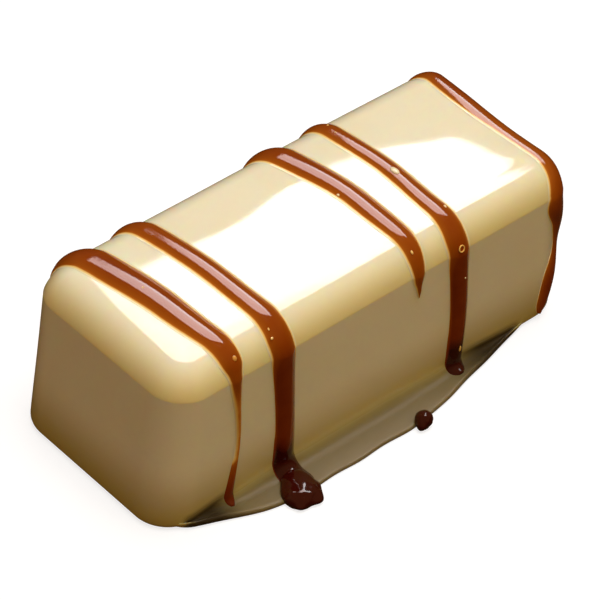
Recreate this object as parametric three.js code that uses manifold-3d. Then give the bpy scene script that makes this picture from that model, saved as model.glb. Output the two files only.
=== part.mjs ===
// White chocolate bonbon: a softly rounded block with caramel drizzled over it, a set foot of chocolate
// along one long side, a small pool where one drizzle ran down, and one stray bead. It is one fused solid.
// Millimetres, +Z up. X runs along the block, and the foot lies on the -Y side. The base rests at z = 0.
import * as THREE from "three";
import { mergeVertices } from "three/addons/utils/BufferGeometryUtils.js";
import Module from "manifold-3d";

// Block
const LENGTH = 38;
const WIDTH = 16;
const HEIGHT = 14.2;
const CROWN = 0.35;            // rise of the top's middle above its edges
const CORNER_RADIUS = 2.9;     // rounding of every edge, measured sideways
const SHOULDER_DROP = 4.4;     // the same rounding at the top edges, measured downwards
const BACK_FULLNESS = 2;       // power of that rounding along the back: 2 is an ellipse
const FRONT_FULLNESS = 2.6;    // and along the front and the ends, which are fuller
const CREASE_TURN = 27;        // degrees up the rounding where the straight wall meets it in a crease
const BASE_RADIUS = 0.65;      // small rounding where the walls meet the base
const ROUND_STEPS = 6;         // steps over each rounding
const END_DRAFT = 0.4;         // each end leans: this far out at the base and this far in at the top

// Drizzle
const THIN_RISE = 0.14;        // height that even the thinnest thread keeps
const DRIZZLE_SINK = 0.45;     // how deep a drizzle's underside is buried in the block
const SHEET_SINK = 0.6;        // the most of the thin foot's own height that it may sink through
const DRIZZLE_STEPS = 40;      // stations along each drizzle
const DRIZZLE_FACETS = 8;      // faces across its rounded back
const UNDERSIDE_EVERY = 4;     // the hidden underside has one face for this many
const TIP_LENGTH = 1.1;        // length over which an end rounds off
const TIP_BLUNT = 0.05;        // how far short of a point the end stops

// Foot: a thin sheet of chocolate that spread from the base and set
const FOOT_REACH = 2.64;       // how far the sheet reaches from the wall
const FOOT_FULL_FROM = -10.4;  // the sheet has swollen to that reach by here,
const FOOT_SWELL = 0.38;       // gaining this much of it per millimetre on the way,
const FOOT_FULL_TO = 2.95;     // and it runs out from here
const FOOT_RUN_OUT = 0.226;    // at this much per millimetre
const FOOT_EASE = 1.5;         // half the length over which each of those begins
const FOOT_SHEET = 0.5;        // thickness of the sheet beside the wall
const FOOT_LIP = 0.36;         // thickness of its rounded rim
const FOOT_FILLET = 1.15;      // radius of the hollow curve between wall and sheet
const THIN_END = 0.4;          // share of those thicknesses where the sheet runs out
const FOOT_RIPPLE = 0.02;      // waviness of the rim, as a share of the reach
const RIPPLE_LENGTH = 4.6;
const FOOT_ROOT = 1.6;         // how far the sheet is buried under the block
const FOOT_STATIONS = 34;
const ARC_STEPS = 4;           // steps round the rim, and round the hollow curve

// Worked out from the block
const FLAT_HEIGHT = HEIGHT - CROWN;
const CORE_X = LENGTH / 2 - CORNER_RADIUS;
const CORE_Y = WIDTH / 2 - CORNER_RADIUS;
const SHOULDER = FLAT_HEIGHT - SHOULDER_DROP;
const WALL = WIDTH / 2;
const RADII = new THREE.Vector3(CORNER_RADIUS, CORNER_RADIUS, SHOULDER_DROP);
const FOOT_START = FOOT_FULL_FROM - FOOT_REACH / FOOT_SWELL;
const FOOT_END = FOOT_FULL_TO + FOOT_REACH / FOOT_RUN_OUT;

// Drizzles that cross the block, from the back wall over the top and down the front wall. The drops are
// measured down each wall from the top edge, and at the front on over the foot. The places along the block
// and the half widths are given at nine spots: the back end, the back edge, half way to the middle, the
// middle of the top, half way on, the front edge, the neck below it, half way down the wall, and the tail.
// The rises are heights as shares of the half widths there.
const NECK_DROP = 2.4;
const CROSSING = [
  {
    backDrop: 4.6,
    frontDrop: 13.6,
    places: [-15.8, -15.8, -15.1, -14.5, -14.2, -13.68, -13.5, -12.8, -12.92],
    halves: [0.86, 1.15, 1.23, 1.17, 1.02, 0.8, 0.44, 0.17, 0.4],
  },
  {
    backDrop: 7.2,
    frontDrop: 15.6,
    places: [-10.95, -10.85, -10.25, -9.84, -9.7, -9.5, -9.25, -8.5, -8.3],
    halves: [0.76, 0.82, 0.85, 0.85, 0.88, 1, 0.96, 0.84, 1.05],
  },
  {
    backDrop: 3.4,
    frontDrop: 4.4,
    places: [1.45, 1.7, 2.53, 3.2, 3.28, 3.38, 3.45, 3.52, 3.6],
    halves: [0.56, 1.06, 1.06, 0.93, 0.87, 0.66, 0.44, 0.2, 0.05],
  },
  {
    backDrop: 9.4,
    frontDrop: 14.2,
    places: [6.72, 6.8, 7.1, 7.38, 7.18, 7.2, 7.36, 7.85, 8.12],
    halves: [0.66, 0.72, 0.75, 0.74, 0.77, 0.94, 0.97, 0.86, 0.88],
  },
];
const CROSSING_RISES = [0.26, 0.36, 0.38, 0.38, 0.36, 0.36, 0.42, 0.46, 0.46];

// Drizzle that lies along the far end's top edge and runs down its two vertical edges. The lean is how far
// up the edge's rounding it lies, and each turn is a place round a vertical edge, in degrees from the end.
const END_LEAN = 60;
const END_BACK = [{ turn: 56, drop: 5.2 }, { turn: 48, drop: 0.6 }];
const END_FRONT = [
  { turn: 56, drop: 3.2 },
  { turn: 54, drop: 4.6 },
  { turn: 46, drop: 7.4 },
  { turn: 68, drop: 10.2 },
  { turn: 86, drop: 13.2 },
];
const END_HALVES = [0.62, 1.2, 1.15, 0.95, 1.15, 1.3, 0.55, 0.85, 0.45];
const END_RISES = [0.3, 0.5, 0.36, 0.22, 0.34, 0.66, 0.4, 0.4, 0.4];

// Pool at the end of the second drizzle, and the bead on the rim of the foot, each drawn out into lobes
const POOL = {
  at: [-9.25, -10.5, 0.4],
  radii: [1.45, 1.3, 0.9],
  lobes: [
    { to: [0.47, -0.88, -0.1], pull: 0.3, sharpness: 14 },
    { to: [-0.56, -0.83, -0.1], pull: 0.15, sharpness: 14 },
    { to: [1, -0.15, 0], pull: 0.15, sharpness: 10 },
    { to: [0.3, 0.9, 0.5], pull: 0.5, sharpness: 4 },
  ],
};
const BEAD = {
  at: [2.38, -10.75, 0.6],
  radii: [0.66, 0.66, 0.66],
  lobes: [{ to: [-0.8, -0.5, -0.3], pull: 0.4, sharpness: 7 }],
};
const BLOB_SEGMENTS = 20;

const MERGE_DISTANCE = 1e-4;   // points closer than this are one point

const wasm = await Module();
wasm.setup();

function clamp(value, limit) {
  return Math.max(-limit, Math.min(limit, value));
}

// Roundness power of a top edge, from the y part of the direction it faces: 1 is straight to the back
function fullness(facingY) {
  return THREE.MathUtils.lerp(FRONT_FULLNESS, BACK_FULLNESS, THREE.MathUtils.smoothstep(facingY, 0, 1));
}

// Where the straight wall meets the rounding above it: inward from the wall's foot, and height
function crease(power) {
  const turn = THREE.MathUtils.degToRad(CREASE_TURN);
  const across = Math.cos(turn);
  const up = Math.sin(turn);
  const reached = (across ** power + up ** power) ** (-1 / power);
  return { inset: CORNER_RADIUS * (1 - across * reached), height: SHOULDER + SHOULDER_DROP * up * reached };
}

// How far in the wall leans at a height
function wallLean(power, z) {
  const { inset, height } = crease(power);
  return (inset * z) / height;
}

// Point of the straight block's rounded surface that lies nearest a guide point, with its outward normal
function onBlock(guide) {
  const core = new THREE.Vector3(clamp(guide.x, CORE_X), clamp(guide.y, CORE_Y), Math.min(guide.z, SHOULDER));
  const out = guide.clone().sub(core).divide(RADII).normalize();
  const facing = new THREE.Vector2(out.x, out.y).normalize();
  const power = fullness(facing.y);
  const reached = (Math.hypot(out.x, out.y) ** power + out.z ** power) ** (-1 / power);
  const across = Math.hypot(out.x, out.y) * reached;
  const up = out.z * reached;
  const z = core.z + SHOULDER_DROP * up;
  const wall = CORNER_RADIUS - wallLean(power, z);
  const onWall = CORNER_RADIUS * across > wall;
  const reach = Math.min(CORNER_RADIUS * across, wall);
  const side = onWall ? 1 : across ** (power - 1) / CORNER_RADIUS;
  const rise = onWall ? wallLean(power, 1) : up ** (power - 1) / SHOULDER_DROP;
  return {
    point: new THREE.Vector3(core.x + facing.x * reach, core.y + facing.y * reach, z),
    normal: new THREE.Vector3(facing.x * side, facing.y * side, rise).normalize(),
  };
}

// Lean the ends and raise the top's middle, for every piece alike
function settle(geometry) {
  const places = geometry.attributes.position;
  for (let i = 0; i < places.count; i += 1) {
    const level = places.getZ(i) / FLAT_HEIGHT;
    const alongX = (2 * places.getX(i)) / LENGTH;
    const acrossY = (2 * places.getY(i)) / WIDTH;
    const dome = CROWN * Math.max(0, 1 - alongX ** 2) * Math.max(0, 1 - acrossY ** 2);
    places.setX(i, places.getX(i) * (1 + (2 * END_DRAFT * (1 - 2 * level)) / LENGTH));
    places.setZ(i, places.getZ(i) + dome * level ** 2);
  }
  return geometry;
}

function toSolid(geometry) {
  for (const name of Object.keys(geometry.attributes)) {
    if (name !== "position") {
      geometry.deleteAttribute(name);
    }
  }
  const merged = mergeVertices(settle(geometry), MERGE_DISTANCE);
  const vertProperties = new Float32Array(merged.attributes.position.array);
  const triVerts = new Uint32Array(merged.index.array);
  const mesh = new wasm.Mesh({ numProp: 3, vertProperties, triVerts });
  mesh.merge();
  return new wasm.Manifold(mesh);
}

// Closed skin over equal rings of points, with a fan at each end
function skinRings(rings) {
  const sides = rings[0].length;
  const points = rings.flat();
  const faces = [];
  for (let i = 0; i + 1 < rings.length; i += 1) {
    for (let k = 0; k < sides; k += 1) {
      const a = i * sides + k;
      const b = i * sides + ((k + 1) % sides);
      faces.push(a, b + sides, b, a, a + sides, b + sides);
    }
  }
  const last = (rings.length - 1) * sides;
  for (let k = 1; k + 1 < sides; k += 1) {
    faces.push(0, k, k + 1, last, last + k + 1, last + k);
  }
  const geometry = new THREE.BufferGeometry().setFromPoints(points);
  geometry.setIndex(faces);
  return geometry;
}

// Places along one edge of the block: close together over the two rounded ends, wide apart between
function stations(low, lowRound, high, highRound, flatSteps) {
  const list = [];
  for (let i = 0; i < ROUND_STEPS; i += 1) {
    list.push(low + (lowRound * i) / ROUND_STEPS);
  }
  for (let i = 0; i < flatSteps; i += 1) {
    list.push(THREE.MathUtils.lerp(low + lowRound, high - highRound, i / flatSteps));
  }
  for (let i = 0; i <= ROUND_STEPS; i += 1) {
    list.push(high - highRound + (highRound * i) / ROUND_STEPS);
  }
  return list;
}

// Place on the base or just above it, pulled in by the small rounding of the base edge
function onBaseEdge(place) {
  const core = new THREE.Vector2(clamp(place.x, CORE_X), clamp(place.y, CORE_Y));
  const out = new THREE.Vector2(place.x, place.y).sub(core);
  const reach = Math.max(Math.abs(out.x), Math.abs(out.y));
  const rise = BASE_RADIUS - place.z;
  const inset = BASE_RADIUS - Math.sqrt(BASE_RADIUS ** 2 - rise ** 2);
  const spot = core.add(out.setLength(((CORNER_RADIUS - inset) * reach) / CORNER_RADIUS));
  return new THREE.Vector3(spot.x, spot.y, place.z);
}

function block() {
  const alongX = stations(-LENGTH / 2, CORNER_RADIUS, LENGTH / 2, CORNER_RADIUS, 8);
  const acrossY = stations(-WALL, CORNER_RADIUS, WALL, CORNER_RADIUS, 4);
  const upZ = stations(0, BASE_RADIUS, FLAT_HEIGHT, SHOULDER_DROP, 2);
  const steps = [alongX.length - 1, acrossY.length - 1, upZ.length - 1];
  const geometry = new THREE.BoxGeometry(...steps, ...steps);
  const places = geometry.attributes.position;
  for (let i = 0; i < places.count; i += 1) {
    const place = new THREE.Vector3(
      alongX[Math.round(places.getX(i) + steps[0] / 2)],
      acrossY[Math.round(places.getY(i) + steps[1] / 2)],
      upZ[Math.round(places.getZ(i) + steps[2] / 2)],
    );
    const rounded = place.z < BASE_RADIUS ? onBaseEdge(place) : onBlock(place).point;
    places.setXYZ(i, rounded.x, rounded.y, rounded.z);
  }
  return geometry;
}

// One cross section of a drizzle: a rounded back over the surface below and an underside buried in it.
// lay gives the surface spot at a sideways offset.
function drizzleRing(lay, half, rise) {
  const back = [];
  const underside = [];
  for (let k = 0; k <= DRIZZLE_FACETS; k += 1) {
    const angle = (Math.PI * k) / DRIZZLE_FACETS;
    const spot = lay(half * Math.cos(angle));
    back.push(spot.point.clone().addScaledVector(spot.normal, rise * Math.sin(angle) ** 2));
    if (k % UNDERSIDE_EVERY === 0) {
      const sink = Math.min(DRIZZLE_SINK, spot.point.z * SHEET_SINK);
      underside.unshift(spot.point.clone().addScaledVector(spot.normal, -sink));
    }
  }
  return [...back, ...underside];
}

// A drizzle with half widths and rises spread along it. layAt gives the surface spot at a share of the way
// along and a sideways offset.
function drizzle(layAt, halves, rises) {
  const sizes = new THREE.SplineCurve(halves.map((half, i) => new THREE.Vector2(half, rises[i])));
  const reached = [0];
  for (let i = 1; i <= DRIZZLE_STEPS; i += 1) {
    const before = layAt((i - 1) / DRIZZLE_STEPS, 0).point;
    reached.push(reached[i - 1] + layAt(i / DRIZZLE_STEPS, 0).point.distanceTo(before));
  }
  const rings = reached.map((length, i) => {
    const share = i / DRIZZLE_STEPS;
    const fromEnd = Math.min(length, reached[DRIZZLE_STEPS] - length);
    const closing = Math.min(1, (fromEnd + TIP_BLUNT) / TIP_LENGTH);
    const size = sizes.getPoint(share);
    const half = size.x * Math.sqrt(closing * (2 - closing));
    const rise = Math.max(half * size.y, Math.min(THIN_RISE, half));
    return drizzleRing((offset) => layAt(share, offset), half, rise);
  });
  return skinRings(rings);
}

// Spot on the bonbon at a place along the block and a distance round its section, which runs from the
// top's middle line over the front edge, down the wall, round the hollow curve and out along the foot
function roundSection(x, distance) {
  const drop = Math.max(0, Math.abs(distance) - WALL);
  const { reach, fillet, sheet } = footSizes(x);
  const onFoot = drop - (FLAT_HEIGHT - sheet - fillet);
  if (distance < 0 || onFoot < 0 || reach === 0) {
    return onBlock(new THREE.Vector3(x, -clamp(distance, WALL), FLAT_HEIGHT - drop));
  }
  const turn = Math.min(onFoot / fillet, Math.PI / 2);
  const z = sheet + fillet * (1 - Math.sin(turn));
  const outward = fillet * (1 - Math.cos(turn)) + (onFoot - fillet * turn) - wallLean(FRONT_FULLNESS, z);
  const normal = new THREE.Vector3(0, -Math.cos(turn), Math.sin(turn));
  return { point: new THREE.Vector3(x, -wallAt(x) - outward, z), normal };
}

function crossingDrizzle({ backDrop, frontDrop, places, halves }) {
  const neck = WALL + NECK_DROP;
  const tail = WALL + frontDrop;
  const distances = [-WALL - backDrop, -WALL, -WALL / 2, 0, WALL / 2, WALL, neck, (neck + tail) / 2, tail];
  const route = new THREE.SplineCurve(places.map((x, i) => new THREE.Vector2(x, distances[i])));
  const layAt = (share, offset) => {
    const place = route.getPoint(share);
    const along = route.getTangent(share);
    return roundSection(place.x - offset * along.y, place.y + offset * along.x);
  };
  return drizzle(layAt, halves, CROSSING_RISES);
}

// Guide point on a vertical edge of the far end: side is 1 at the back and -1 at the front
function onEndCorner({ turn, drop }, side) {
  const angle = THREE.MathUtils.degToRad(turn);
  const y = side * (CORE_Y + CORNER_RADIUS * Math.sin(angle));
  return new THREE.Vector3(CORE_X + CORNER_RADIUS * Math.cos(angle), y, FLAT_HEIGHT - drop);
}

function endDrizzle() {
  const tilt = THREE.MathUtils.degToRad(END_LEAN);
  const edgeX = CORE_X + CORNER_RADIUS * Math.cos(tilt);
  const edgeZ = SHOULDER + SHOULDER_DROP * Math.sin(tilt);
  const route = new THREE.CatmullRomCurve3([
    ...END_BACK.map((place) => onEndCorner(place, 1)),
    new THREE.Vector3(edgeX, CORE_Y / 2, edgeZ),
    new THREE.Vector3(edgeX, -CORE_Y / 2, edgeZ),
    ...END_FRONT.map((place) => onEndCorner(place, -1)),
  ]);
  const layAt = (share, offset) => {
    const spot = onBlock(route.getPoint(share));
    const side = route.getTangent(share).cross(spot.normal).normalize();
    return onBlock(spot.point.addScaledVector(side, offset));
  };
  return drizzle(layAt, END_HALVES, END_RISES);
}

// Distance of the block's outline from its middle line, at a place along it
function wallAt(x) {
  const past = Math.min(CORNER_RADIUS, Math.max(0, Math.abs(x) - CORE_X));
  return CORE_Y + Math.sqrt(CORNER_RADIUS ** 2 - past ** 2);
}

// Distance past a turning point, begun gently
function eased(past) {
  return Math.abs(past) < FOOT_EASE ? (past + FOOT_EASE) ** 2 / (4 * FOOT_EASE) : Math.max(0, past);
}

function footReach(x) {
  const short = FOOT_SWELL * eased(FOOT_FULL_FROM - x) + FOOT_RUN_OUT * eased(x - FOOT_FULL_TO);
  const ripple = FOOT_RIPPLE * Math.sin((2 * Math.PI * x) / RIPPLE_LENGTH);
  return Math.max(0, (FOOT_REACH - short) * (1 + ripple));
}

// Sizes of the foot at a place along the block, which all shrink with its reach
function footSizes(x) {
  const reach = footReach(x);
  const share = reach / FOOT_REACH;
  const thickness = THREE.MathUtils.lerp(THIN_END, 1, share);
  return { reach, fillet: FOOT_FILLET * share, sheet: FOOT_SHEET * thickness, lip: FOOT_LIP * thickness };
}

// Section of the foot across the wall: buried root, flat underside, rounded rim, sheet and hollow curve
function footRing(x) {
  const { reach, fillet, sheet, lip } = footSizes(x);
  const outline = [[FOOT_ROOT, 0]];
  for (let k = 0; k <= ARC_STEPS; k += 1) {
    const angle = Math.PI * (k / ARC_STEPS - 0.5);
    outline.push([-reach + (lip / 2) * (1 - Math.cos(angle)), (lip / 2) * (1 + Math.sin(angle))]);
  }
  for (let k = 0; k <= ARC_STEPS; k += 1) {
    const angle = (Math.PI / 2) * (k / ARC_STEPS);
    outline.push([-fillet * (1 - Math.sin(angle)), sheet + fillet * (1 - Math.cos(angle))]);
  }
  outline.push([FOOT_ROOT, sheet + fillet]);
  const wall = -wallAt(x);
  return outline.map(([inward, z]) => new THREE.Vector3(x, wall + inward + wallLean(FRONT_FULLNESS, z), z));
}

function foot() {
  const rings = [];
  for (let i = 0; i <= FOOT_STATIONS; i += 1) {
    rings.push(footRing(THREE.MathUtils.lerp(FOOT_START, FOOT_END, i / FOOT_STATIONS)));
  }
  return skinRings(rings);
}

// Rounded blob, drawn out into lobes and flattened where it meets the surface it rests on
function blob({ at, radii, lobes }) {
  const geometry = new THREE.SphereGeometry(1, BLOB_SEGMENTS, BLOB_SEGMENTS / 2).rotateX(Math.PI / 2);
  const size = new THREE.Vector3(...radii);
  const centre = new THREE.Vector3(...at);
  const places = geometry.attributes.position;
  for (let i = 0; i < places.count; i += 1) {
    const out = new THREE.Vector3().fromBufferAttribute(places, i);
    let stretch = 1;
    for (const { to, pull, sharpness } of lobes) {
      stretch += pull * Math.max(0, out.dot(new THREE.Vector3(...to).normalize())) ** sharpness;
    }
    const place = out.multiplyScalar(stretch).multiply(size).add(centre);
    places.setXYZ(i, place.x, place.y, Math.max(0, place.z));
  }
  return geometry;
}

// One solid from overlapping pieces; a pocket that the join seals off inside is filled
function fuse(geometries) {
  const joined = geometries.map(toSolid).reduce((whole, solid) => whole.add(solid));
  return joined.decompose().reduce((outer, shell) => (shell.volume() > outer.volume() ? shell : outer));
}

function toMesh(name, solid, material) {
  const { vertProperties, triVerts } = solid.getMesh();
  const geometry = new THREE.BufferGeometry();
  geometry.setAttribute("position", new THREE.BufferAttribute(new Float32Array(vertProperties), 3));
  geometry.setIndex(new THREE.BufferAttribute(new Uint32Array(triVerts), 1));
  geometry.computeVertexNormals();
  const mesh = new THREE.Mesh(geometry, material);
  mesh.name = name;
  return mesh;
}

const whiteChocolate = new THREE.MeshStandardMaterial({ color: 0xeaddb8, roughness: 0.22, metalness: 0 });
const lines = [...CROSSING.map(crossingDrizzle), endDrizzle()];
const blobs = [POOL, BEAD].map(blob);
const bonbon = new THREE.Group();
bonbon.add(toMesh("bonbon", fuse([block(), foot(), ...lines, ...blobs]), whiteChocolate));

export default bonbon;
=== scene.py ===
import math

import bmesh
import bpy
import numpy as np
from mathutils import Matrix, Vector


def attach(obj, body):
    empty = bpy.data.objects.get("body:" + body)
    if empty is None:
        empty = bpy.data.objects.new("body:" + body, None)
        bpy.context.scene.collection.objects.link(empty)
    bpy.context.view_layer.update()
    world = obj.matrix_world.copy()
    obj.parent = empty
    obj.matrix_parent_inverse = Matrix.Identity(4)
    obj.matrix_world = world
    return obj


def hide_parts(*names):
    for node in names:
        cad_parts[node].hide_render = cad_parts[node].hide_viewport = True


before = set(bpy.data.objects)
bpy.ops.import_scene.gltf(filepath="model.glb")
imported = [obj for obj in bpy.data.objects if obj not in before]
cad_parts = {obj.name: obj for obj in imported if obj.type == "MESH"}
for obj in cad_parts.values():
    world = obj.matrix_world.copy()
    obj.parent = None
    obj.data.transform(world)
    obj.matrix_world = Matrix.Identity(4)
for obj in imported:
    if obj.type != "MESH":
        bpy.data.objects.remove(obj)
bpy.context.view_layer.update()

# A white chocolate bonbon: a glossy rounded block with a thin set foot along its front, and caramel drizzled
# over it. Sizes are in millimetres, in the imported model's frame: X along the block, the foot on the -Y side.
MM = 0.001
TINY = 1e-9
JOIN_DISTANCE = 0.0005

# Block
LENGTH, WIDTH, HEIGHT = 38.0, 16.0, 14.2
CROWN = 0.35
CORNER_RADIUS = 2.9
SHOULDER_DROP = 4.4
BACK_FULLNESS, FRONT_FULLNESS = 2.0, 2.6
CREASE_TURN = 27
BASE_RADIUS = 0.65
END_DRAFT = 0.4
FLAT_HEIGHT = HEIGHT - CROWN
CORE_X = LENGTH / 2 - CORNER_RADIUS
CORE_Y = WIDTH / 2 - CORNER_RADIUS
SHOULDER = FLAT_HEIGHT - SHOULDER_DROP
WALL = WIDTH / 2
RADII = np.array([CORNER_RADIUS, CORNER_RADIUS, SHOULDER_DROP])

# Foot, with its full reach between two places along the block and a rim slanting back to the wall past them
FOOT_REACH = 2.64
FOOT_FULL_FROM, FOOT_SWELL = -10.4, 0.38
FOOT_FULL_TO, FOOT_RUN_OUT = 2.95, 0.226
FOOT_EASE = 1.5
FOOT_SHEET = 0.5
FOOT_LIP = 0.36
FOOT_FILLET = 1.15
THIN_END = 0.4
FOOT_RIPPLE = 0.02
RIPPLE_LENGTH = 4.6

# Fineness of the chocolate's skin
SKIN_STEP = 0.22
CORNER_STEPS = 30
RIM_ROWS, SHEET_ROWS, HOLLOW_ROWS, WALL_ROWS, SHOULDER_ROWS = 8, 6, 10, 16, 34
CREASE_NEAR = 0.992

# Where the chocolate's painted shade begins and ends: warm painted shade on the rounding of the top edges by
# its turn in degrees, darker painted shade at the foot of the walls by height, painted shade up the foot by
# shares of its height, and a darker painted shadow towards the foot's ends by shares of its full reach
PAINTED_EDGE_SHADE_FULL_TO, PAINTED_EDGE_SHADE_NONE_FROM = CREASE_TURN, 72
PAINTED_BASE_SHADE_TO = 6.0
PAINTED_FOOT_SHADE_FROM, PAINTED_FOOT_SHADE_TO = 0.3, 1.05
PAINTED_RUN_OUT_SHADOW_FROM, PAINTED_RUN_OUT_SHADOW_TO = 0.95, 1.3
PAINTED_RUN_OUT_SHADOW_FULL, PAINTED_RUN_OUT_SHADOW_NONE = 0.35, 0.75
FOOT_BEGUN = 0.1

# The skin's gentle waves: height, length along x, y and z, and start
WAVES = [
    (0.010, 23.0, 31.0, 17.0, 0.4),
    (0.004, 9.5, 14.0, 9.0, 2.1),
]
WAVES_FROM, WAVES_FULL = 1.6, 5.0

# Drizzles that cross the block. Their places along it and half widths are given at nine spots: the back end,
# the back edge, half way to the middle, the middle of the top, half way on, the front edge, the neck below
# it, half way down the wall, and the tail. The rises are heights as shares of the half widths there.
# Painted wall shading is how much more depth of colour a drizzle gains as it runs down the walls, painted
# shade that darkens its wall part, lighter instead where it is below 0; pooled is how much depth gathers at
# its foot.
NECK_DROP = 2.4
CROSSING = [
    dict(back_drop=4.6, front_drop=13.8, painted_wall_shading=-0.6, pooled=0.9,
         places=[-15.8, -15.8, -15.1, -14.5, -14.2, -13.68, -13.5, -12.85, -13.3],
         halves=[0.86, 1.15, 1.23, 1.17, 1.02, 0.8, 0.44, 0.17, 0.4]),
    dict(back_drop=7.2, front_drop=15.6, painted_wall_shading=3.0, pooled=0.8,
         places=[-10.95, -10.85, -10.25, -9.84, -9.7, -9.5, -9.25, -8.5, -8.3],
         halves=[0.76, 0.82, 0.85, 0.85, 0.88, 1.0, 0.96, 0.84, 1.05]),
    dict(back_drop=3.4, front_drop=4.4, painted_wall_shading=0.0, pooled=0.0,
         places=[1.45, 1.7, 2.53, 3.2, 3.28, 3.38, 3.45, 3.52, 3.6],
         halves=[0.56, 1.06, 1.06, 0.93, 0.87, 0.66, 0.44, 0.2, 0.05]),
    dict(back_drop=9.4, front_drop=14.2, painted_wall_shading=3.0, pooled=0.8,
         places=[6.72, 6.8, 7.1, 7.38, 7.18, 7.2, 7.36, 7.82, 7.72],
         halves=[0.66, 0.72, 0.75, 0.74, 0.77, 0.92, 0.9, 0.8, 0.76]),
]
CROSSING_RISES = [0.26, 0.36, 0.38, 0.38, 0.36, 0.36, 0.42, 0.46, 0.46]

# Drizzle along the far end's top edge, at a lean on its rounding, and down the two vertical edges there, by
# turns round them and drops from the top. Turns and the lean are in degrees.
END_LEAN = 60
END_BACK = [(56, 5.2), (48, 0.6)]
END_FRONT = [(60, 2.6), (51, 5.0), (47, 7.6), (66, 10.2), (86, 13.2)]
END_HALVES = [0.62, 1.0, 1.15, 1.0, 1.3, 0.88, 0.62, 0.85, 0.45]
END_RISES = [0.3, 0.45, 0.36, 0.22, 0.3, 0.5, 0.36, 0.4, 0.4]
END_PAINTED_WALL_SHADING, END_POOLED = 0.8, 0.0
END_EVENNESS = 0.5

# Make-up of every drizzle: its least rise, how far it sinks into the block and into the thin foot, its
# rounded tips, its thin rims, its fineness, and where it counts as running down the walls and as pooled
THIN_RISE = 0.14
DRIZZLE_SINK = 0.45
SHEET_SINK = 0.6
DRIZZLE_LIFT = 0.006
TIP_LENGTH = 1.1
TIP_BLUNT = 0.05
RIM_WIDTH, RIM_SHARE, RIM_RISE, RIM_HOLLOW = 0.2, 0.6, 0.065, 1.3
DRIZZLE_STATIONS = 260
EVENED_STATIONS = 17
DRIZZLE_FACETS, RIM_FACETS = 26, 5
RUN_FROM, RUN_FULL, RUN_RIM = 1.6, 5.0, 0.3
POOLED_BELOW = 4.5
DEEPEST = 0.62

# Air bubbles in the drizzles: which drizzle, distance round the block, place across its half width, reach
# along it, across it and upwards, and depth of colour. The open one has burst: its edge's radius and
# thickness stand in place of the reach. A dome starts below its widest place, sunk by a turn in radians.
# The palest bubbles, at depths of colour 0 to 0.02, are painted highlights: their pale tone stands in for the
# white glints on them.
BUBBLES = [
    (4, -5.55, 0.2, (0.08, 0.08, 0.06), 0.05),
    (4, -4.64, -0.2, (0.07, 0.07, 0.05), 0.05),
    (4, 1.07, -0.1, (0.42, 0.26, 0.16), 0.0),
    (4, 5.71, 0.62, (0.13, 0.09, 0.08), 0.02),
    (4, 12.59, 0.2, (0.07, 0.07, 0.06), 0.02),
    (4, 19.5, 0.15, (0.26, 0.1, 0.06), 0.05),
    (3, 0.35, -0.9, (0.11, 0.11, 0.1), 0.02),
    (3, 7.34, -0.37, (0.15, 0.1, 0.07), 0.05),
    (2, 7.0, -0.6, (0.11, 0.08, 0.06), 0.05),
    (2, 7.7, -0.65, (0.1, 0.15, 0.08), 0.05),
    (1, 7.65, 0.2, (0.2, 0.16, 0.1), 0.07),
    (1, -0.6, -0.2, (0.08, 0.08, 0.06), 0.05),
]
OPEN_BUBBLE = (4, 9.49, -0.05, 0.24, 0.05, 0.06)
BUBBLE_TURNS, BUBBLE_RINGS = 20, 8
BUBBLE_SUNK = 0.5

# Pool below the second drizzle and the stray bead on the foot's rim, each drawn out into lobes, which are
# given by direction, pull and sharpness. Lumps are how uneven a blob is, as a share of its size.
POOL = dict(at=(-8.9, -10.5, 0.4), radii=(1.4, 1.3, 0.8), lumps=0.04, lobes=[
    ((0.47, -0.88, -0.1), 0.3, 14), ((-0.56, -0.83, -0.1), 0.15, 14), ((1.0, -0.15, 0.0), 0.15, 10),
    ((0.3, 0.9, 0.5), 0.5, 4),
])
BEAD = dict(at=(2.38, -10.75, 0.6), radii=(0.66, 0.66, 0.66), lumps=0.04, lobes=[
    ((-0.8, -0.5, -0.3), 0.4, 7),
])
BLOB_TURNS, BLOB_RINGS = 64, 40
BLOB_DEPTH = 1.5
BLOB_LOWEST = 0.01
LUMP_TURNS, LUMP_STARTS = 7.0, (0.3, 1.1, 2.0)

# Looks of the chocolate, with colours as they show on a screen, 0 to 255. Painted shade is laid over the plain
# tones in this order, each where the mark of its name is high: warm painted shade on the rounding of the top
# edges, darker painted shade at the foot of the walls, painted shade on the foot and a darker painted shadow
# at its ends.
PLAIN_TONES = (246, 238, 208), (250, 244, 218)
PAINTED_SHADE_TONES = {
    # warm painted shade on the rounding of the top edges
    "edge": (247, 229, 160),
    # painted shade, darker towards the base of the walls
    "low": (190, 171, 96),
    # painted shade on the foot
    "thin": (114, 100, 62),
    # darker painted shadow at the foot's ends
    "painted_run_out_shadow": (52, 40, 14),
}
CHOCOLATE_SURFACE = dict(scale=160, roughness=0.03, unevenness=0.03, bump=0.05)
CHOCOLATE_IOR = 1.5
FOOT_DULLNESS = 0.45
SCATTERED, SCATTER_REACH, SCATTER_SIZE = 0.5, (1.0, 0.6, 0.25), 0.5

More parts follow.
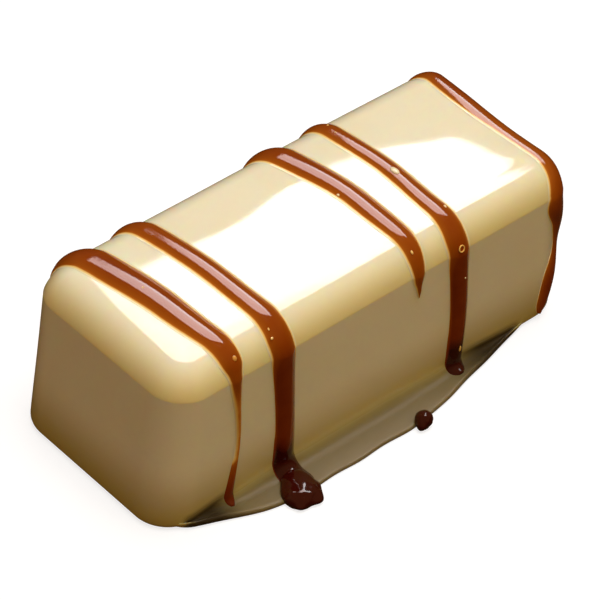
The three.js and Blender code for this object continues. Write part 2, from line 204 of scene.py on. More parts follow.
# Looks of the caramel: its colours by depth, and how unevenly the depth counts
CARAMEL_TONES = [
    (0.0, (250, 240, 205)),
    (0.015, (250, 238, 198)),
    (0.03, (254, 228, 152)),
    (0.06, (246, 198, 104)),
    (0.075, (216, 142, 54)),
    (0.1, (180, 98, 22)),
    (0.16, (164, 82, 10)),
    (0.3, (152, 70, 5)),
    (0.46, (140, 58, 3)),
    (0.68, (122, 43, 2)),
    (1.0, (54, 8, 3)),
]
CARAMEL_SURFACE = dict(scale=500, roughness=0.05, unevenness=0.06, bump=0.1)
CARAMEL_IOR = 1.45
DEPTH_SPREAD, DEPTH_LEAST = 0.6, 0.7

# Set surface that both share
CLOUD_DETAIL = 3
GRAIN_FINENESS = 9
RELIEF_HEIGHT = 0.02

# Camera, fitted to the photo
VIEW_TURN, VIEW_LIFT, VIEW_ROLL = -45.716, 42.48, 5.185
VIEW_DISTANCE = 240.5
VIEW_TARGET = (-0.543, -0.494, 6.199)
VIEW_ANGLE = 10
VIEW_NEAREST = 10

# Studio: a large softbox above the block, behind it and to its right, given by the corners of its white panel
# and of the slightly dimmer and warmer one that goes on to the left. The air's tones go by height: 0 is level
# and 1 straight up.
SOFTBOX_HEIGHT = 500
SOFTBOX_PANEL = [
    (300, 415), (300, -110), (387, -110), (387, 60), (422, 235), (472, 340), (487, 358), (503, 384),
    (513, 410), (492, 411), (476, 424), (455, 454), (432, 441), (385, 430), (352, 420),
]
SOFTBOX_EDGE = [
    (300, 425), (200, 377), (130, 346), (30, 319), (-70, 290), (-75, 200), (-65, 120), (-30, 50), (40, -10),
    (150, -55), (300, -90),
]
SOFTBOX_GLOW, SOFTBOX_COLOUR = 11.0, (255, 255, 255)
SOFTBOX_EDGE_GLOW, SOFTBOX_EDGE_COLOUR = 10.0, (255, 234, 228)
LIGHTS = {
    "key": dict(place=(40, -60, 600), size=300, watts=2.6, colour=(255, 255, 255)),
    "side_fill": dict(place=(-600, -120, 200), size=400, watts=0.36, colour=(255, 208, 160)),
    "front_fill": dict(place=(250, -600, 200), size=400, watts=0.58, colour=(255, 217, 135)),
}
AIR_TONES = [(0.0, (80, 58, 30)), (0.5, (138, 112, 76))]
FLOOR_RADIUS, FLOOR_SIDES = 3000, 64
FLOOR_COLOUR, FLOOR_GLOW = (0.3, 0.3, 0.3, 1), 2.6
STAGE_ROUGHNESS = 0.9


def linear(red, green, blue):
    """Scene colour of a colour given as it shows on a screen, 0 to 255."""
    shown = np.array([red, green, blue]) / 255
    return (*np.where(shown <= 0.04045, shown / 12.92, ((shown + 0.055) / 1.055) ** 2.4), 1.0)


def smooth(value, start, end):
    """Share of the way that a value has come from start to end, with a gentle start and end."""
    share = np.clip((value - start) / (end - start), 0, 1)
    return share * share * (3 - 2 * share)


def unit(vectors):
    return vectors / np.linalg.norm(vectors, axis=-1, keepdims=True)


# Surface of the block and its foot


def fullness(toward_back):
    """Roundness power of the top edges, which are fuller along the front and the ends: 2 is an ellipse."""
    return FRONT_FULLNESS + (BACK_FULLNESS - FRONT_FULLNESS) * smooth(toward_back, 0, 1)


def rounding(turn, power):
    """Place on the rounding of a top edge: inward from the wall's foot, and height."""
    across, up = max(0, math.cos(turn)), math.sin(turn)
    reached = (across**power + up**power) ** (-1 / power)
    return CORNER_RADIUS * (1 - across * reached), SHOULDER + SHOULDER_DROP * up * reached


def crease(power):
    """Where the straight wall meets the rounding above it: inward from the wall's foot, and height."""
    return rounding(math.radians(CREASE_TURN), power)


def on_block(guide):
    """Points of the rounded block nearest the guide points, and the outward directions there."""
    core = np.clip(guide, [-CORE_X, -CORE_Y, -np.inf], [CORE_X, CORE_Y, SHOULDER])
    out = unit((guide - core) / RADII)
    sideways = np.linalg.norm(out[..., :2], axis=-1)
    power = fullness(out[..., 1] / np.maximum(sideways, TINY))
    up = np.maximum(0, out[..., 2])
    out = out / ((sideways**power + up**power) ** (1 / power))[..., None]
    sideways = np.maximum(np.linalg.norm(out[..., :2], axis=-1), TINY)
    facing = out[..., :2] / sideways[..., None]
    points = core + out * RADII
    normals = np.concatenate([
        facing * (sideways ** (power - 1) / CORNER_RADIUS)[..., None],
        (np.maximum(0, out[..., 2]) ** (power - 1) / SHOULDER_DROP)[..., None],
    ], axis=-1)
    inset, height = crease(power)
    wall = CORNER_RADIUS - inset * points[..., 2] / height
    on_wall = (sideways * CORNER_RADIUS > wall)[..., None]
    lean = np.concatenate([facing, (inset / height)[..., None]], axis=-1)
    trimmed = np.concatenate([core[..., :2] + facing * wall[..., None], points[..., 2:]], axis=-1)
    return np.where(on_wall, trimmed, points), unit(np.where(on_wall, lean, normals))


def settle(points):
    """Lean the ends and raise the top's middle."""
    level = points[..., 2] / FLAT_HEIGHT
    along = 2 * points[..., 0] / LENGTH
    across = 2 * points[..., 1] / WIDTH
    dome = CROWN * np.maximum(0, 1 - along**2) * np.maximum(0, 1 - across**2)
    settled = points.copy()
    settled[..., 0] *= 1 + 2 * END_DRAFT * (1 - 2 * level) / LENGTH
    settled[..., 2] += dome * level**2
    return settled


def gentle_waves(points):
    """How far the skin swells out at points of the block."""
    swell = np.zeros(points.shape[:-1])
    for height, *lengths, start in WAVES:
        swell += height * np.sin(2 * np.pi * (points / lengths).sum(axis=-1) + start)
    return swell * smooth(points[..., 2], WAVES_FROM, WAVES_FULL)


def eased(past):
    """Distance past a turning point of the foot's rim, begun gently."""
    return np.where(np.abs(past) < FOOT_EASE, (past + FOOT_EASE) ** 2 / (4 * FOOT_EASE), np.maximum(0, past))


def foot_sizes(x):
    """Reach, hollow radius, sheet thickness and rim thickness of the foot at places along the block."""
    short = FOOT_SWELL * eased(FOOT_FULL_FROM - x) + FOOT_RUN_OUT * eased(x - FOOT_FULL_TO)
    ripple = FOOT_RIPPLE * np.sin(2 * np.pi * x / RIPPLE_LENGTH)
    reach = np.maximum(0, (FOOT_REACH - short) * (1 + ripple))
    share = reach / FOOT_REACH
    thickness = THIN_END + (1 - THIN_END) * share
    return reach, FOOT_FILLET * share, FOOT_SHEET * thickness, FOOT_LIP * thickness


def wall_at(x):
    """Distance from the middle line to the front wall at places along the block."""
    past = np.clip(np.abs(x) - CORE_X, 0, CORNER_RADIUS)
    return CORE_Y + np.sqrt(CORNER_RADIUS**2 - past**2)


def round_section(x, distance):
    """Spots round the block's section: from the top's middle line, over the front and out along the foot."""
    drop = np.maximum(0, np.abs(distance) - WALL)
    reach, hollow, sheet, _ = foot_sizes(x)
    on_foot = drop - (FLAT_HEIGHT - sheet - hollow)
    guide = np.stack([x, -np.clip(distance, -WALL, WALL), FLAT_HEIGHT - drop], axis=-1)
    points, normals = on_block(guide)
    turn = np.clip(on_foot / np.maximum(hollow, TINY), 0, np.pi / 2)
    level = sheet + hollow * (1 - np.sin(turn))
    inset, height = crease(FRONT_FULLNESS)
    outward = hollow * (1 - np.cos(turn)) + (on_foot - hollow * turn) - inset * level / height
    foot_points = np.stack([x, -wall_at(x) - outward, level], axis=-1)
    foot_normals = np.stack([np.zeros_like(x), -np.cos(turn), np.sin(turn)], axis=-1)
    lies_on_foot = ((distance > 0) & (on_foot > 0) & (reach > 0))[..., None]
    return np.where(lies_on_foot, foot_points, points), np.where(lies_on_foot, foot_normals, normals)


# Drizzle shapes


def spline(knots, share, evenness=0.0):
    """Places on a smooth curve through the knots, at shares of the way along. Evenness 0 takes all gaps
    between the knots as alike, and 0.5 allows for their lengths, so that close knots make no loop."""
    knots = np.asarray(knots, float)
    knots = np.vstack([2 * knots[0] - knots[1], knots, 2 * knots[-1] - knots[-2]])
    along = np.clip(share, 0, 1) * (len(knots) - 3)
    first = np.minimum(along.astype(int), len(knots) - 4)
    t = (along - first)[..., None]
    before, start, end, after = (knots[first + step] for step in range(4))
    gap_in, gap, gap_out = (
        np.linalg.norm(b - a, axis=-1, keepdims=True) ** evenness
        for a, b in ((before, start), (start, end), (end, after))
    )
    leave = gap * ((start - before) / gap_in - (end - before) / (gap_in + gap) + (end - start) / gap)
    arrive = gap * ((end - start) / gap - (after - start) / (gap + gap_out) + (after - end) / gap_out)
    bend = 2 * (start - end) + leave + arrive
    return start + leave * t + (3 * (end - start) - 2 * leave - arrive) * t**2 + bend * t**3


def heading(knots, share, evenness=0.0):
    """Direction of that curve."""
    step = 1e-4
    return unit(spline(knots, share + step, evenness) - spline(knots, share - step, evenness))


def crossing_route(line):
    """Places along the block and distances round it that a crossing drizzle passes."""
    neck = WALL + NECK_DROP
    tail = WALL + line["front_drop"]
    back = -WALL - line["back_drop"]
    distances = [back, -WALL, -WALL / 2, 0, WALL / 2, WALL, neck, (neck + tail) / 2, tail]
    return list(zip(line["places"], distances))


def crossing_lay(line):
    """Surface spots of a crossing drizzle, at shares of the way along and sideways offsets."""
    knots = crossing_route(line)

    def lay(share, offset):
        place = spline(knots, share)
        along = heading(knots, share)
        return round_section(place[..., 0] + offset * along[..., 1], place[..., 1] - offset * along[..., 0])

    return lay


def on_end_corner(turn, drop, side):
    """Spot on a vertical edge of the far end, by the turn round it in degrees and the drop from the top."""
    angle = math.radians(turn)
    y = side * (CORE_Y + CORNER_RADIUS * math.sin(angle))
    return (CORE_X + CORNER_RADIUS * math.cos(angle), y, FLAT_HEIGHT - drop)


def end_lay():
    """Surface spots of the drizzle along the far end's top edge."""
    tilt = math.radians(END_LEAN)
    edge_x = CORE_X + CORNER_RADIUS * math.cos(tilt)
    edge_z = SHOULDER + SHOULDER_DROP * math.sin(tilt)
    knots = [
        *(on_end_corner(turn, drop, 1) for turn, drop in END_BACK),
        (edge_x, CORE_Y / 2, edge_z),
        (edge_x, -CORE_Y / 2, edge_z),
        *(on_end_corner(turn, drop, -1) for turn, drop in END_FRONT),
    ]

    def lay(share, offset):
        points, normals = on_block(spline(knots, share, END_EVENNESS))
        side = unit(np.cross(heading(knots, share, END_EVENNESS), normals))
        return on_block(points - side * offset[..., None])

    return lay


def drizzle_sizes(lay, share, halves, rises):
    """Half width and rise of a drizzle at shares of the way along, rounded off at its ends."""
    middle, _ = lay(share, np.zeros_like(share))
    steps = np.linalg.norm(np.diff(middle, axis=0), axis=1)
    reached = np.concatenate([[0], np.cumsum(steps)])
    from_end = np.minimum(reached, reached[-1] - reached)
    closing = np.minimum(1, (from_end + TIP_BLUNT) / TIP_LENGTH)
    sizes = spline(np.column_stack([halves, rises]), share)
    half = sizes[:, 0] * np.sqrt(closing * (2 - closing))
    return half, np.maximum(half * sizes[:, 1], np.minimum(THIN_RISE, half))


def drizzle_section(half, rise, rim):
    """Sideways offsets and heights across a drizzle: a rounded back between two thin rims."""
    angle = np.linspace(0, np.pi, DRIZZLE_FACETS + 1)
    fade = np.linspace(0, 1, RIM_FACETS + 1)[1:]
    half, rise, rim = half[:, None], rise[:, None], rim[:, None]
    edge = half + rim * fade
    film = np.broadcast_to(RIM_RISE * (1 - fade) ** RIM_HOLLOW, edge.shape)
    offsets = np.concatenate([edge[:, ::-1], half * np.cos(angle), -edge], axis=1)
    heights = np.concatenate([film[:, ::-1], RIM_RISE + rise * np.sin(angle) ** 2, film], axis=1)
    return offsets, heights


def evened(normals):
    """Outward directions evened out along a drizzle, as thick caramel rounds off the creases under it."""
    shares = np.hanning(EVENED_STATIONS + 2)[1:-1]
    beyond = EVENED_STATIONS // 2
    padded = np.pad(normals, ((beyond, beyond), (0, 0), (0, 0)), mode="edge")
    return unit(sum(share * padded[k:k + len(normals)] for k, share in enumerate(shares)))


def run_down(points):
    """How far points lie down the walls, from 0 on the top to 1."""
    return smooth(FLAT_HEIGHT - points[..., 2], RUN_FROM, RUN_FULL)


def drizzle_shape(lay, halves, rises, painted_wall_shading, pooled):
    """Rings of points of one drizzle, and its depth of colour at each point, with painted wall shading added
    where it runs down the walls.
    """
    share = np.linspace(0, 1, DRIZZLE_STATIONS)
    half, rise = drizzle_sizes(lay, share, halves, rises)
    middle, _ = lay(share, 0 * share)
    rim = np.minimum(RIM_WIDTH * (1 - (1 - RUN_RIM) * run_down(middle)), RIM_SHARE * half)
    offsets, heights = drizzle_section(half, rise, rim)
    points, normals = lay(np.broadcast_to(share[:, None], offsets.shape), offsets)
    normals = evened(normals)
    lift = heights + DRIZZLE_LIFT + gentle_waves(points)
    back = points + normals * lift[..., None]
    last = offsets.shape[1] - 1
    under_at = [last, last // 2, 0]
    sink = np.minimum(DRIZZLE_SINK, points[:, under_at, 2:] * SHEET_SINK)
    under = points[:, under_at] - normals[:, under_at] * sink
    gathered = pooled * (1 - smooth(points[..., 2], 0, POOLED_BELOW))
    # Painted shade: the depth of colour grows down the walls, so that the caramel shows darker there
    depth = np.minimum(DEEPEST, heights * (1 + painted_wall_shading * run_down(points))) + gathered
    depth = np.concatenate([depth, np.zeros((len(share), len(under_at)))], axis=1)
    return np.concatenate([back, under], axis=1), depth


def on_drizzle(line, distance, across):
    """Spot on a crossing drizzle's back, with the directions outward, along it and across it."""
    lay = crossing_lay(line)
    shares = np.linspace(0, 1, DRIZZLE_STATIONS)
    halves, rises = drizzle_sizes(lay, shares, line["halves"], CROSSING_RISES)
    share = np.interp(distance, spline(crossing_route(line), shares)[:, 1], shares)
    half = np.interp(share, shares, halves)
    rise = np.interp(share, shares, rises)
    step = 1e-3
    points, normals = lay(np.array([share, share + step]), np.full(2, across * half))
    lift = RIM_RISE + rise * (1 - across**2) + DRIZZLE_LIFT
    slope = 2 * rise * across / half
    ahead = unit(points[1] - points[0])
    side = np.cross(ahead, normals[0])
    outward = unit(normals[0] + side * slope)
    return points[0] + normals[0] * lift, outward, ahead, np.cross(ahead, outward)


def bubble_shape(spot, outward, ahead, side, reach):
    """Rings of points of a small dome, from a little below the surface to its top."""
    lift = np.linspace(-BUBBLE_SUNK, np.pi / 2, BUBBLE_RINGS)[:, None, None]
    turn = np.linspace(0, 2 * np.pi, BUBBLE_TURNS, endpoint=False)[None, :, None]
    round_it = ahead * reach[0] * np.cos(turn) + side * reach[1] * np.sin(turn)
    return spot + round_it * np.cos(lift) + outward * reach[2] * np.sin(lift)


def open_bubble_shape(spot, outward, ahead, side, reach, thickness):
    """Rings of points of the raised edge that a burst bubble left."""
    turn = np.linspace(0, 2 * np.pi, 2 * BUBBLE_TURNS + 1)[:, None, None]
    tube = np.linspace(0, 2 * np.pi, BUBBLE_TURNS, endpoint=False)[None, :, None]
    bearing = ahead * np.cos(turn) + side * np.sin(turn)
    return spot + bearing * (reach + thickness * np.cos(tube)) + outward * thickness * np.sin(tube)


# Meshes


def ring_faces(rings, around, first=0):
    """Four-cornered faces between neighbouring closed rings of points."""
    faces = []
    for row in range(rings - 1):
        for k in range(around):
            a = first + row * around + k
            b = first + row * around + (k + 1) % around
            faces.append((a, b, b + around, a + around))
    return faces


def capped_faces(rings, around, first=0):
    """Faces of a closed tube of rings with a flat cap at each end."""
    start = tuple(range(first, first + around))
    end = tuple(range(first + (rings - 1) * around, first + rings * around))
    return [*ring_faces(rings, around, first), start, end[::-1]]


def make_piece(name, points, faces, material, marks):
    """Mesh piece of the bonbon, from settled points in millimetres, with named values at each point."""
    mesh = bpy.data.meshes.new(name)
    mesh.from_pydata((points * MM).tolist(), [], faces)
    for mark, values in marks.items():
        mesh.attributes.new(mark, "FLOAT", "POINT").data.foreach_set("value", values.astype(np.float32))
    shape = bmesh.new()
    shape.from_mesh(mesh)
    bmesh.ops.remove_doubles(shape, verts=shape.verts, dist=JOIN_DISTANCE * MM)
    bmesh.ops.dissolve_degenerate(shape, edges=shape.edges, dist=JOIN_DISTANCE * MM)
    bmesh.ops.recalc_face_normals(shape, faces=shape.faces)
    shape.to_mesh(mesh)
    shape.free()
    mesh.shade_smooth()
    mesh.materials.append(material)
    piece = bpy.data.objects.new(name, mesh)
    bpy.context.scene.collection.objects.link(piece)
    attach(piece, "root")
    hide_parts("bonbon")


def outline_stations(step):
    """Places round the block's core rectangle and the wall's outward direction at each."""
    long_steps = round(2 * CORE_X / step)
    short_steps = round(2 * CORE_Y / step)
    sides = [
        ((-CORE_X, -CORE_Y), (CORE_X, -CORE_Y), long_steps, -90),
        ((CORE_X, -CORE_Y), (CORE_X, CORE_Y), short_steps, 0),
        ((CORE_X, CORE_Y), (-CORE_X, CORE_Y), long_steps, 90),
        ((-CORE_X, CORE_Y), (-CORE_X, -CORE_Y), short_steps, 180),
    ]
    places, bearings = [], []
    for start, end, steps, bearing in sides:
        share = np.linspace(0, 1, steps + 1)[:, None]
        places.append(np.array(start) + share * (np.array(end) - np.array(start)))
        bearings.append(np.full(steps + 1, float(bearing)))
        turns = np.linspace(0, 90, CORNER_STEPS + 1)[1:-1]
        places.append(np.tile(end, (len(turns), 1)))
        bearings.append(bearing + turns)
    bearing = np.radians(np.concatenate(bearings))
    return np.concatenate(places), np.stack([np.cos(bearing), np.sin(bearing)], axis=1)


def front_foot(x, toward_back):
    """Reach, hollow radius, sheet thickness and rim radius of the foot round the outline. Only the wall that
    faces the front has a foot: elsewhere the base is slightly rounded."""
    facing_front = smooth(-toward_back, 0, 1)
    reach, hollow, sheet, lip = (size * facing_front for size in foot_sizes(x))
    share = np.sqrt(reach / FOOT_REACH)
    rim = BASE_RADIUS + (lip / 2 - BASE_RADIUS) * share
    sheet = BASE_RADIUS + (sheet - BASE_RADIUS) * share
    return reach, hollow, sheet, rim


def painted_marks_of_foot(x, toward_back, up):
    """How far the skin at a height takes the painted shade of the foot, and the darker painted shadow at its
    ends.
    """
    reach, hollow, sheet, _ = front_foot(x, toward_back)
    share = reach / FOOT_REACH
    foot_top = sheet + hollow
    begun = smooth(share, 0, FOOT_BEGUN)
    thin = begun * (1 - smooth(up / foot_top, PAINTED_FOOT_SHADE_FROM, PAINTED_FOOT_SHADE_TO))
    below_wall = begun * (1 - smooth(up / foot_top, PAINTED_RUN_OUT_SHADOW_FROM, PAINTED_RUN_OUT_SHADOW_TO))
    return thin, below_wall * (1 - smooth(share, PAINTED_RUN_OUT_SHADOW_FULL, PAINTED_RUN_OUT_SHADOW_NONE))


def skin_rows(x, toward_back):
    """Profile of the skin at places round the outline, by rows: outward distance from the wall, height, and
    how far the row takes the warm painted shade of the rounding of the top edges."""
    power = fullness(toward_back)
    reach, hollow, sheet, rim = front_foot(x, toward_back)
    share = np.sqrt(reach / FOOT_REACH)
    rows = []
    for step in np.linspace(0, 1, RIM_ROWS):
        angle = -np.pi / 2 + step * (np.pi / 2) * (1 + share)
        rows.append((reach - rim + rim * np.cos(angle), rim + rim * np.sin(angle)))
    rim_out, rim_up = rows[-1]
    for step in np.linspace(0, 1, SHEET_ROWS)[1:]:
        rows.append((rim_out + step * (hollow - rim_out), rim_up + step * (sheet - rim_up)))
    for angle in np.linspace(0, np.pi / 2, HOLLOW_ROWS)[1:]:
        rows.append((hollow * (1 - np.sin(angle)), sheet + hollow * (1 - np.cos(angle))))
    foot_top = sheet + hollow
    inset, height = crease(power)
    for step in (*np.linspace(0, 1, WALL_ROWS)[1:-1], CREASE_NEAR):
        rows.append((0 * height, foot_top + step * (height - foot_top)))
    rows = [(out - inset * up / height, up, 0.0) for out, up in rows]
    for turn in np.linspace(CREASE_TURN, 90, SHOULDER_ROWS):
        inward, up = rounding(math.radians(turn), power)
        rows.append((-inward, up, 1 - smooth(turn, PAINTED_EDGE_SHADE_FULL_TO, PAINTED_EDGE_SHADE_NONE_FROM)))
    return rows


def flat_grid():
    """Points of a level grid inside the top edges' roundings, and its numbers of columns and rows."""
    columns = round(2 * CORE_X / SKIN_STEP)
    rows = round(2 * CORE_Y / SKIN_STEP)
    x, y = np.meshgrid(np.linspace(-CORE_X, CORE_X, columns + 1), np.linspace(-CORE_Y, CORE_Y, rows + 1))
    return np.column_stack([x.ravel(), y.ravel()]), columns, rows


def grid_faces(columns, rows, first, facing_up):
    faces = []
    for j in range(rows):
        for i in range(columns):
            a = first + j * (columns + 1) + i
            face = (a, a + 1, a + columns + 2, a + columns + 1)
            faces.append(face if facing_up else face[::-1])
    return faces


def chocolate_skin():
    """Points and faces of the block and its foot as one closed skin, and at each point how far it takes the
    painted shade of the foot, the darker painted shadow at the foot's ends, the warm painted shade of the
    rounding of the top edges and the darker painted shade at the foot of the walls."""
    places, outward = outline_stations(SKIN_STEP)
    x = places[:, 0] + outward[:, 0] * CORNER_RADIUS
    around = len(places)
    rings = [np.column_stack([places, np.zeros(around)])]
    marks = {mark: [np.zeros(around)] for mark in PAINTED_SHADE_TONES}
    for out, up, share in skin_rows(x, outward[:, 1]):
        plan = places + outward * (CORNER_RADIUS + out)[:, None]
        rings.append(np.column_stack([plan, up]))
        # Marks of painted shade on the foot, painted shadow at its ends, warm painted shade on the rounding
        # and darker painted shade at the foot of the walls
        thin, painted_run_out_shadow = painted_marks_of_foot(x, outward[:, 1], up)
        marks["thin"].append(thin)
        marks["painted_run_out_shadow"].append(painted_run_out_shadow)
        marks["edge"].append(np.full(around, share))
        marks["low"].append(1 - smooth(up, 0, PAINTED_BASE_SHADE_TO))
    flat, columns, rows = flat_grid()
    top = np.column_stack([flat, np.full(len(flat), FLAT_HEIGHT)])
    base = np.column_stack([flat, np.zeros(len(flat))])
    faces = ring_faces(len(rings), around)
    faces += grid_faces(columns, rows, len(rings) * around, True)
    faces += grid_faces(columns, rows, len(rings) * around + len(flat), False)
    plain = np.zeros(2 * len(flat))
    marks = {mark: np.concatenate([*values, plain]) for mark, values in marks.items()}
    return np.concatenate([*rings, top, base]), faces, marks


def blob_shape(at, radii, lumps, lobes):
    """Rings of points of a rounded blob drawn out into lobes and flat where it rests."""
    lift = np.linspace(-np.pi / 2, np.pi / 2, BLOB_RINGS)
    turn = np.linspace(0, 2 * np.pi, BLOB_TURNS, endpoint=False)
    lift, turn = np.meshgrid(lift, turn, indexing="ij")
    out = np.stack([np.cos(lift) * np.cos(turn), np.cos(lift) * np.sin(turn), np.sin(lift)], axis=-1)
    stretch = 1 + lumps * np.sin(LUMP_TURNS * out + LUMP_STARTS).prod(axis=-1)
    for direction, pull, sharpness in lobes:
        stretch += pull * np.maximum(0, out @ unit(np.array(direction, float))) ** sharpness
    points = out * stretch[..., None] * radii + at
    points[..., 2] = np.maximum(BLOB_LOWEST, points[..., 2])
    return points


# Materials


def new_material(name):
    material = bpy.data.materials.new(name)
    material.use_nodes = True
    nodes = material.node_tree.nodes
    return material, nodes, material.node_tree.links, nodes["Principled BSDF"]


def set_values(node, values):
    for name, value in values.items():
        node.inputs[name].default_value = value


def mark_value(nodes, mark):
    """Named value of a piece's points."""
    share = nodes.new("ShaderNodeAttribute")
    share.attribute_name = mark
    return share.outputs["Fac"]


def calculation(nodes, operation):
    node = nodes.new("ShaderNodeMath")
    node.operation = operation
    return node


def colour_ramp(nodes, stops):
    """Ramp through two or more colours, each given with its position."""
    ramp = nodes.new("ShaderNodeValToRGB")
    elements = ramp.color_ramp.elements
    for end in (0, -1):
        position, tone = stops[end]
        elements[end].position = position
        elements[end].color = linear(*tone)
    for position, tone in stops[1:-1]:
        elements.new(position).color = linear(*tone)
    return ramp


def mottle_group():
    """Uneven gloss and tint of a poured surface that has set: a mask, a roughness and a fine height."""
    group = bpy.data.node_groups.new("set_surface", "ShaderNodeTree")
    for name in ("Scale", "Roughness", "Unevenness"):
        group.interface.new_socket(name, in_out="INPUT", socket_type="NodeSocketFloat")
    for name in ("Mask", "Roughness", "Height"):
        group.interface.new_socket(name, in_out="OUTPUT", socket_type="NodeSocketFloat")
    nodes, links = group.nodes, group.links
    given = nodes.new("NodeGroupInput")
    result = nodes.new("NodeGroupOutput")
    place = nodes.new("ShaderNodeTexCoord")
    clouds = nodes.new("ShaderNodeTexNoise")
    clouds.inputs["Detail"].default_value = CLOUD_DETAIL
    grain = nodes.new("ShaderNodeTexNoise")
    finer = calculation(nodes, "MULTIPLY")
    finer.inputs[1].default_value = GRAIN_FINENESS
    spread = calculation(nodes, "MULTIPLY_ADD")
    links.new(place.outputs["Object"], clouds.inputs["Vector"])
    links.new(place.outputs["Object"], grain.inputs["Vector"])
    links.new(given.outputs["Scale"], clouds.inputs["Scale"])
    links.new(given.outputs["Scale"], finer.inputs[0])
    links.new(finer.outputs[0], grain.inputs["Scale"])
    links.new(clouds.outputs["Fac"], spread.inputs[0])
    links.new(given.outputs["Unevenness"], spread.inputs[1])
    links.new(given.outputs["Roughness"], spread.inputs[2])
    links.new(clouds.outputs["Fac"], result.inputs["Mask"])
    links.new(spread.outputs[0], result.inputs["Roughness"])
    links.new(grain.outputs["Fac"], result.inputs["Height"])
    return group


def place_mottle(nodes, links, shader, group, scale, roughness, unevenness, bump):
    """The set-surface effect in one material, with that material's own values and its fine relief."""
    mottle = nodes.new("ShaderNodeGroup")
    mottle.node_tree = group
    set_values(mottle, {"Scale": scale, "Roughness": roughness, "Unevenness": unevenness})
    relief = nodes.new("ShaderNodeBump")
    set_values(relief, {"Strength": bump, "Distance": RELIEF_HEIGHT * MM})
    links.new(mottle.outputs["Height"], relief.inputs["Height"])
    links.new(relief.outputs["Normal"], shader.inputs["Normal"])
    return mottle


def mix_in(nodes, links, before, mark, colour):
    """Colour of a surface, changed to another where a named value of its points is high."""
    mix = nodes.new("ShaderNodeMix")
    mix.data_type = "RGBA"
    mix.inputs["B"].default_value = colour
    links.new(mark_value(nodes, mark), mix.inputs["Factor"])
    links.new(before, mix.inputs["A"])
    return mix.outputs["Result"]


def dull_foot(nodes, links, mottle, shader):
    """Roughness of the chocolate, which is duller on the foot."""
    roughness = mottle.outputs["Roughness"]
    # The foot's painted shade and painted shadow marks also make the foot duller
    for mark in ("thin", "painted_run_out_shadow"):
        rougher = calculation(nodes, "MULTIPLY_ADD")
        rougher.inputs[1].default_value = FOOT_DULLNESS
        links.new(mark_value(nodes, mark), rougher.inputs[0])
        links.new(roughness, rougher.inputs[2])
        roughness = rougher.outputs[0]
    links.new(roughness, shader.inputs["Roughness"])


def white_chocolate(group):
    material, nodes, links, shader = new_material("white_chocolate")
    mottle = place_mottle(nodes, links, shader, group, **CHOCOLATE_SURFACE)
    tint = nodes.new("ShaderNodeMix")
    tint.data_type = "RGBA"
    for socket, tone in zip("AB", PLAIN_TONES):
        tint.inputs[socket].default_value = linear(*tone)
    links.new(mottle.outputs["Mask"], tint.inputs["Factor"])
    colour = tint.outputs["Result"]
    # Painted shade laid over the plain tones, each where its mark is high
    for mark, tone in PAINTED_SHADE_TONES.items():
        colour = mix_in(nodes, links, colour, mark, linear(*tone))
    links.new(colour, shader.inputs["Base Color"])
    dull_foot(nodes, links, mottle, shader)
    set_values(shader, {
        "Subsurface Weight": SCATTERED,
        "Subsurface Radius": SCATTER_REACH,
        "Subsurface Scale": SCATTER_SIZE * MM,
        "IOR": CHOCOLATE_IOR,
    })
    return material


def caramel(group):
    material, nodes, links, shader = new_material("caramel")
    mottle = place_mottle(nodes, links, shader, group, **CARAMEL_SURFACE)
    uneven = calculation(nodes, "MULTIPLY_ADD")
    uneven.inputs[1].default_value = DEPTH_SPREAD
    uneven.inputs[2].default_value = DEPTH_LEAST
    depth = calculation(nodes, "MULTIPLY")
    links.new(mottle.outputs["Mask"], uneven.inputs[0])
    links.new(uneven.outputs[0], depth.inputs[0])
    links.new(mark_value(nodes, "depth"), depth.inputs[1])
    ramp = colour_ramp(nodes, CARAMEL_TONES)
    links.new(depth.outputs[0], ramp.inputs["Fac"])
    links.new(ramp.outputs["Color"], shader.inputs["Base Color"])
    links.new(mottle.outputs["Roughness"], shader.inputs["Roughness"])
    set_values(shader, {"IOR": CARAMEL_IOR})
    return material


def glow_material(name, colour, glow):
    material, _, _, shader = new_material(name)
    set_values(shader, {
        "Base Color": colour,
        "Roughness": STAGE_ROUGHNESS,
        "Emission Color": colour,
        "Emission Strength": glow,
    })
    return material


# Pieces


def build_chocolate(material):
    """Block and foot, with gentle waves in the skin above the foot."""
    points, faces, marks = chocolate_skin()
    above = points[:, 2] > WAVES_FROM
    _, normals = on_block(points[above])
    points[above] += normals * gentle_waves(points[above])[:, None]
    make_piece("chocolate_block", settle(points), faces, material, marks)


def build_drizzle(name, lay, halves, rises, painted_wall_shading, pooled, material):
    points, depth = drizzle_shape(lay, halves, rises, painted_wall_shading, pooled)
    faces = capped_faces(*points.shape[:2])
    marks = {"depth": depth.ravel()}
    make_piece(name, settle(points.reshape(-1, 3)), faces, material, marks)


def build_blob(name, sizes, material):
    points = settle(blob_shape(**sizes).reshape(-1, 3))
    faces = ring_faces(BLOB_RINGS, BLOB_TURNS)
    make_piece(name, points, faces, material, {"depth": np.full(len(points), BLOB_DEPTH)})


def build_bubbles(material):
    """Small air bubbles that set in the drizzles, and the edge of one that burst."""
    points, faces, depths = [], [], []
    for number, distance, across, reach, depth in BUBBLES:
        dome = bubble_shape(*on_drizzle(CROSSING[number - 1], distance, across), reach)
        faces += capped_faces(BUBBLE_RINGS, BUBBLE_TURNS, len(points))
        points.extend(dome.reshape(-1, 3))
        depths += [depth] * (BUBBLE_RINGS * BUBBLE_TURNS)
    number, distance, across, reach, thickness, depth = OPEN_BUBBLE
    edge = open_bubble_shape(*on_drizzle(CROSSING[number - 1], distance, across), reach, thickness)
    faces += ring_faces(*edge.shape[:2], len(points))
    points.extend(edge.reshape(-1, 3))
    depths += [depth] * (len(points) - len(depths))
    marks = {"depth": np.array(depths)}
    make_piece("caramel_bubbles", settle(np.array(points)), faces, material, marks)


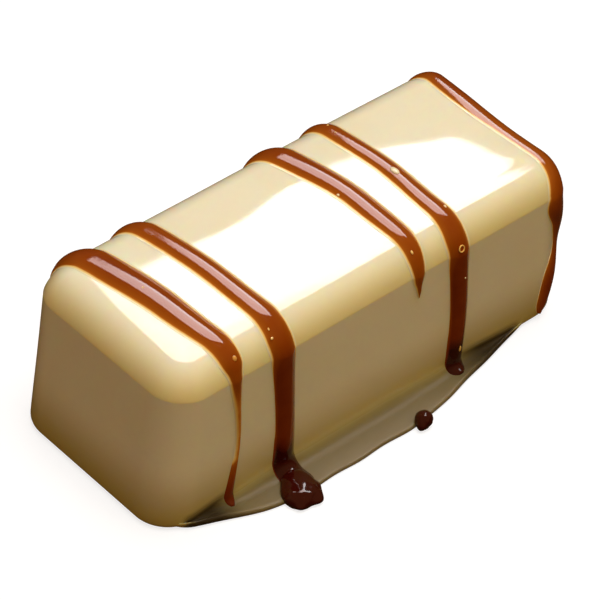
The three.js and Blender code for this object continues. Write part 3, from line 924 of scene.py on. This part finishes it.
def build_bonbon():
    group = mottle_group()
    sauce = caramel(group)
    build_chocolate(white_chocolate(group))
    for number, line in enumerate(CROSSING, start=1):
        shape = (crossing_lay(line), line["halves"], CROSSING_RISES, line["painted_wall_shading"], line["pooled"])
        build_drizzle(f"drizzle_{number}", *shape, sauce)
    end_shape = (end_lay(), END_HALVES, END_RISES, END_PAINTED_WALL_SHADING, END_POOLED)
    build_drizzle(f"drizzle_{len(CROSSING) + 1}", *end_shape, sauce)
    build_blob("caramel_pool", POOL, sauce)
    build_blob("caramel_bead", BEAD, sauce)
    build_bubbles(sauce)


# Studio


def stage_mesh(name, points, faces, material):
    """Flat piece of the studio, from points in millimetres."""
    mesh = bpy.data.meshes.new(name)
    mesh.from_pydata((np.array(points, float) * MM).tolist(), [], faces)
    mesh.materials.append(material)
    piece = bpy.data.objects.new(name, mesh)
    bpy.context.scene.collection.objects.link(piece)
    return piece


def only_mirrored(piece):
    """Let a piece of the studio show in the gloss alone."""
    piece.visible_camera = False
    piece.visible_diffuse = False
    piece.visible_shadow = False


def softbox(name, corners, glow, colour):
    points = [(x, y, SOFTBOX_HEIGHT) for x, y in reversed(corners)]
    material = glow_material(name, linear(*colour), glow)
    only_mirrored(stage_mesh(name, points, [tuple(range(len(points)))], material))


def floor_disc():
    """Pale floor that shows only to the camera and takes the bonbon's shadow."""
    turns = np.linspace(0, 2 * np.pi, FLOOR_SIDES, endpoint=False)
    points = np.column_stack([FLOOR_RADIUS * np.cos(turns), FLOOR_RADIUS * np.sin(turns), 0 * turns])
    material = glow_material("pale_floor", FLOOR_COLOUR, FLOOR_GLOW)
    floor = stage_mesh("floor", points, [tuple(range(FLOOR_SIDES))], material)
    floor.visible_diffuse = False
    floor.visible_glossy = False


def soft_light(name, place, size, watts, colour):
    """Square light aimed at the bonbon. Gloss doesn't mirror it, so that the softbox shows there alone."""
    light = bpy.data.lights.new(name, "AREA")
    light.size = size * MM
    light.energy = watts
    light.color = linear(*colour)[:3]
    lamp = bpy.data.objects.new(name, light)
    lamp.location = Vector(place) * MM
    lamp.rotation_euler = Vector(place).to_track_quat("Z", "Y").to_euler()
    lamp.visible_glossy = False
    bpy.context.scene.collection.objects.link(lamp)


def studio_air():
    """Dim warm surroundings, darker from below than from above."""
    world = bpy.data.worlds.new("studio")
    world.use_nodes = True
    nodes, links = world.node_tree.nodes, world.node_tree.links
    direction = nodes.new("ShaderNodeTexCoord")
    parts = nodes.new("ShaderNodeSeparateXYZ")
    ramp = colour_ramp(nodes, AIR_TONES)
    links.new(direction.outputs["Generated"], parts.inputs[0])
    links.new(parts.outputs["Z"], ramp.inputs["Fac"])
    links.new(ramp.outputs["Color"], nodes["Background"].inputs["Color"])
    bpy.context.scene.world = world


def light_studio():
    softbox("softbox", SOFTBOX_PANEL, SOFTBOX_GLOW, SOFTBOX_COLOUR)
    softbox("softbox_edge", SOFTBOX_EDGE, SOFTBOX_EDGE_GLOW, SOFTBOX_EDGE_COLOUR)
    floor_disc()
    for name, light in LIGHTS.items():
        soft_light(name, **light)
    studio_air()
    bpy.context.scene.view_settings.view_transform = "Standard"


def place_camera():
    turn, lift, roll = (math.radians(angle) for angle in (VIEW_TURN, VIEW_LIFT, VIEW_ROLL))
    back = Vector((math.sin(turn) * math.cos(lift), -math.cos(turn) * math.cos(lift), math.sin(lift)))
    level = Vector((math.cos(turn), math.sin(turn), 0))
    right = level * math.cos(roll) + back.cross(level) * math.sin(roll)
    axes = Matrix((right, back.cross(right), back)).transposed().to_4x4()
    lens = bpy.data.cameras.new("camera")
    lens.angle = math.radians(VIEW_ANGLE)
    lens.clip_start = VIEW_NEAREST * MM
    camera = bpy.data.objects.new("camera", lens)
    camera.matrix_world = Matrix.Translation((Vector(VIEW_TARGET) + back * VIEW_DISTANCE) * MM) @ axes
    bpy.context.scene.collection.objects.link(camera)
    bpy.context.scene.camera = camera


build_bonbon()
light_studio()
place_camera()
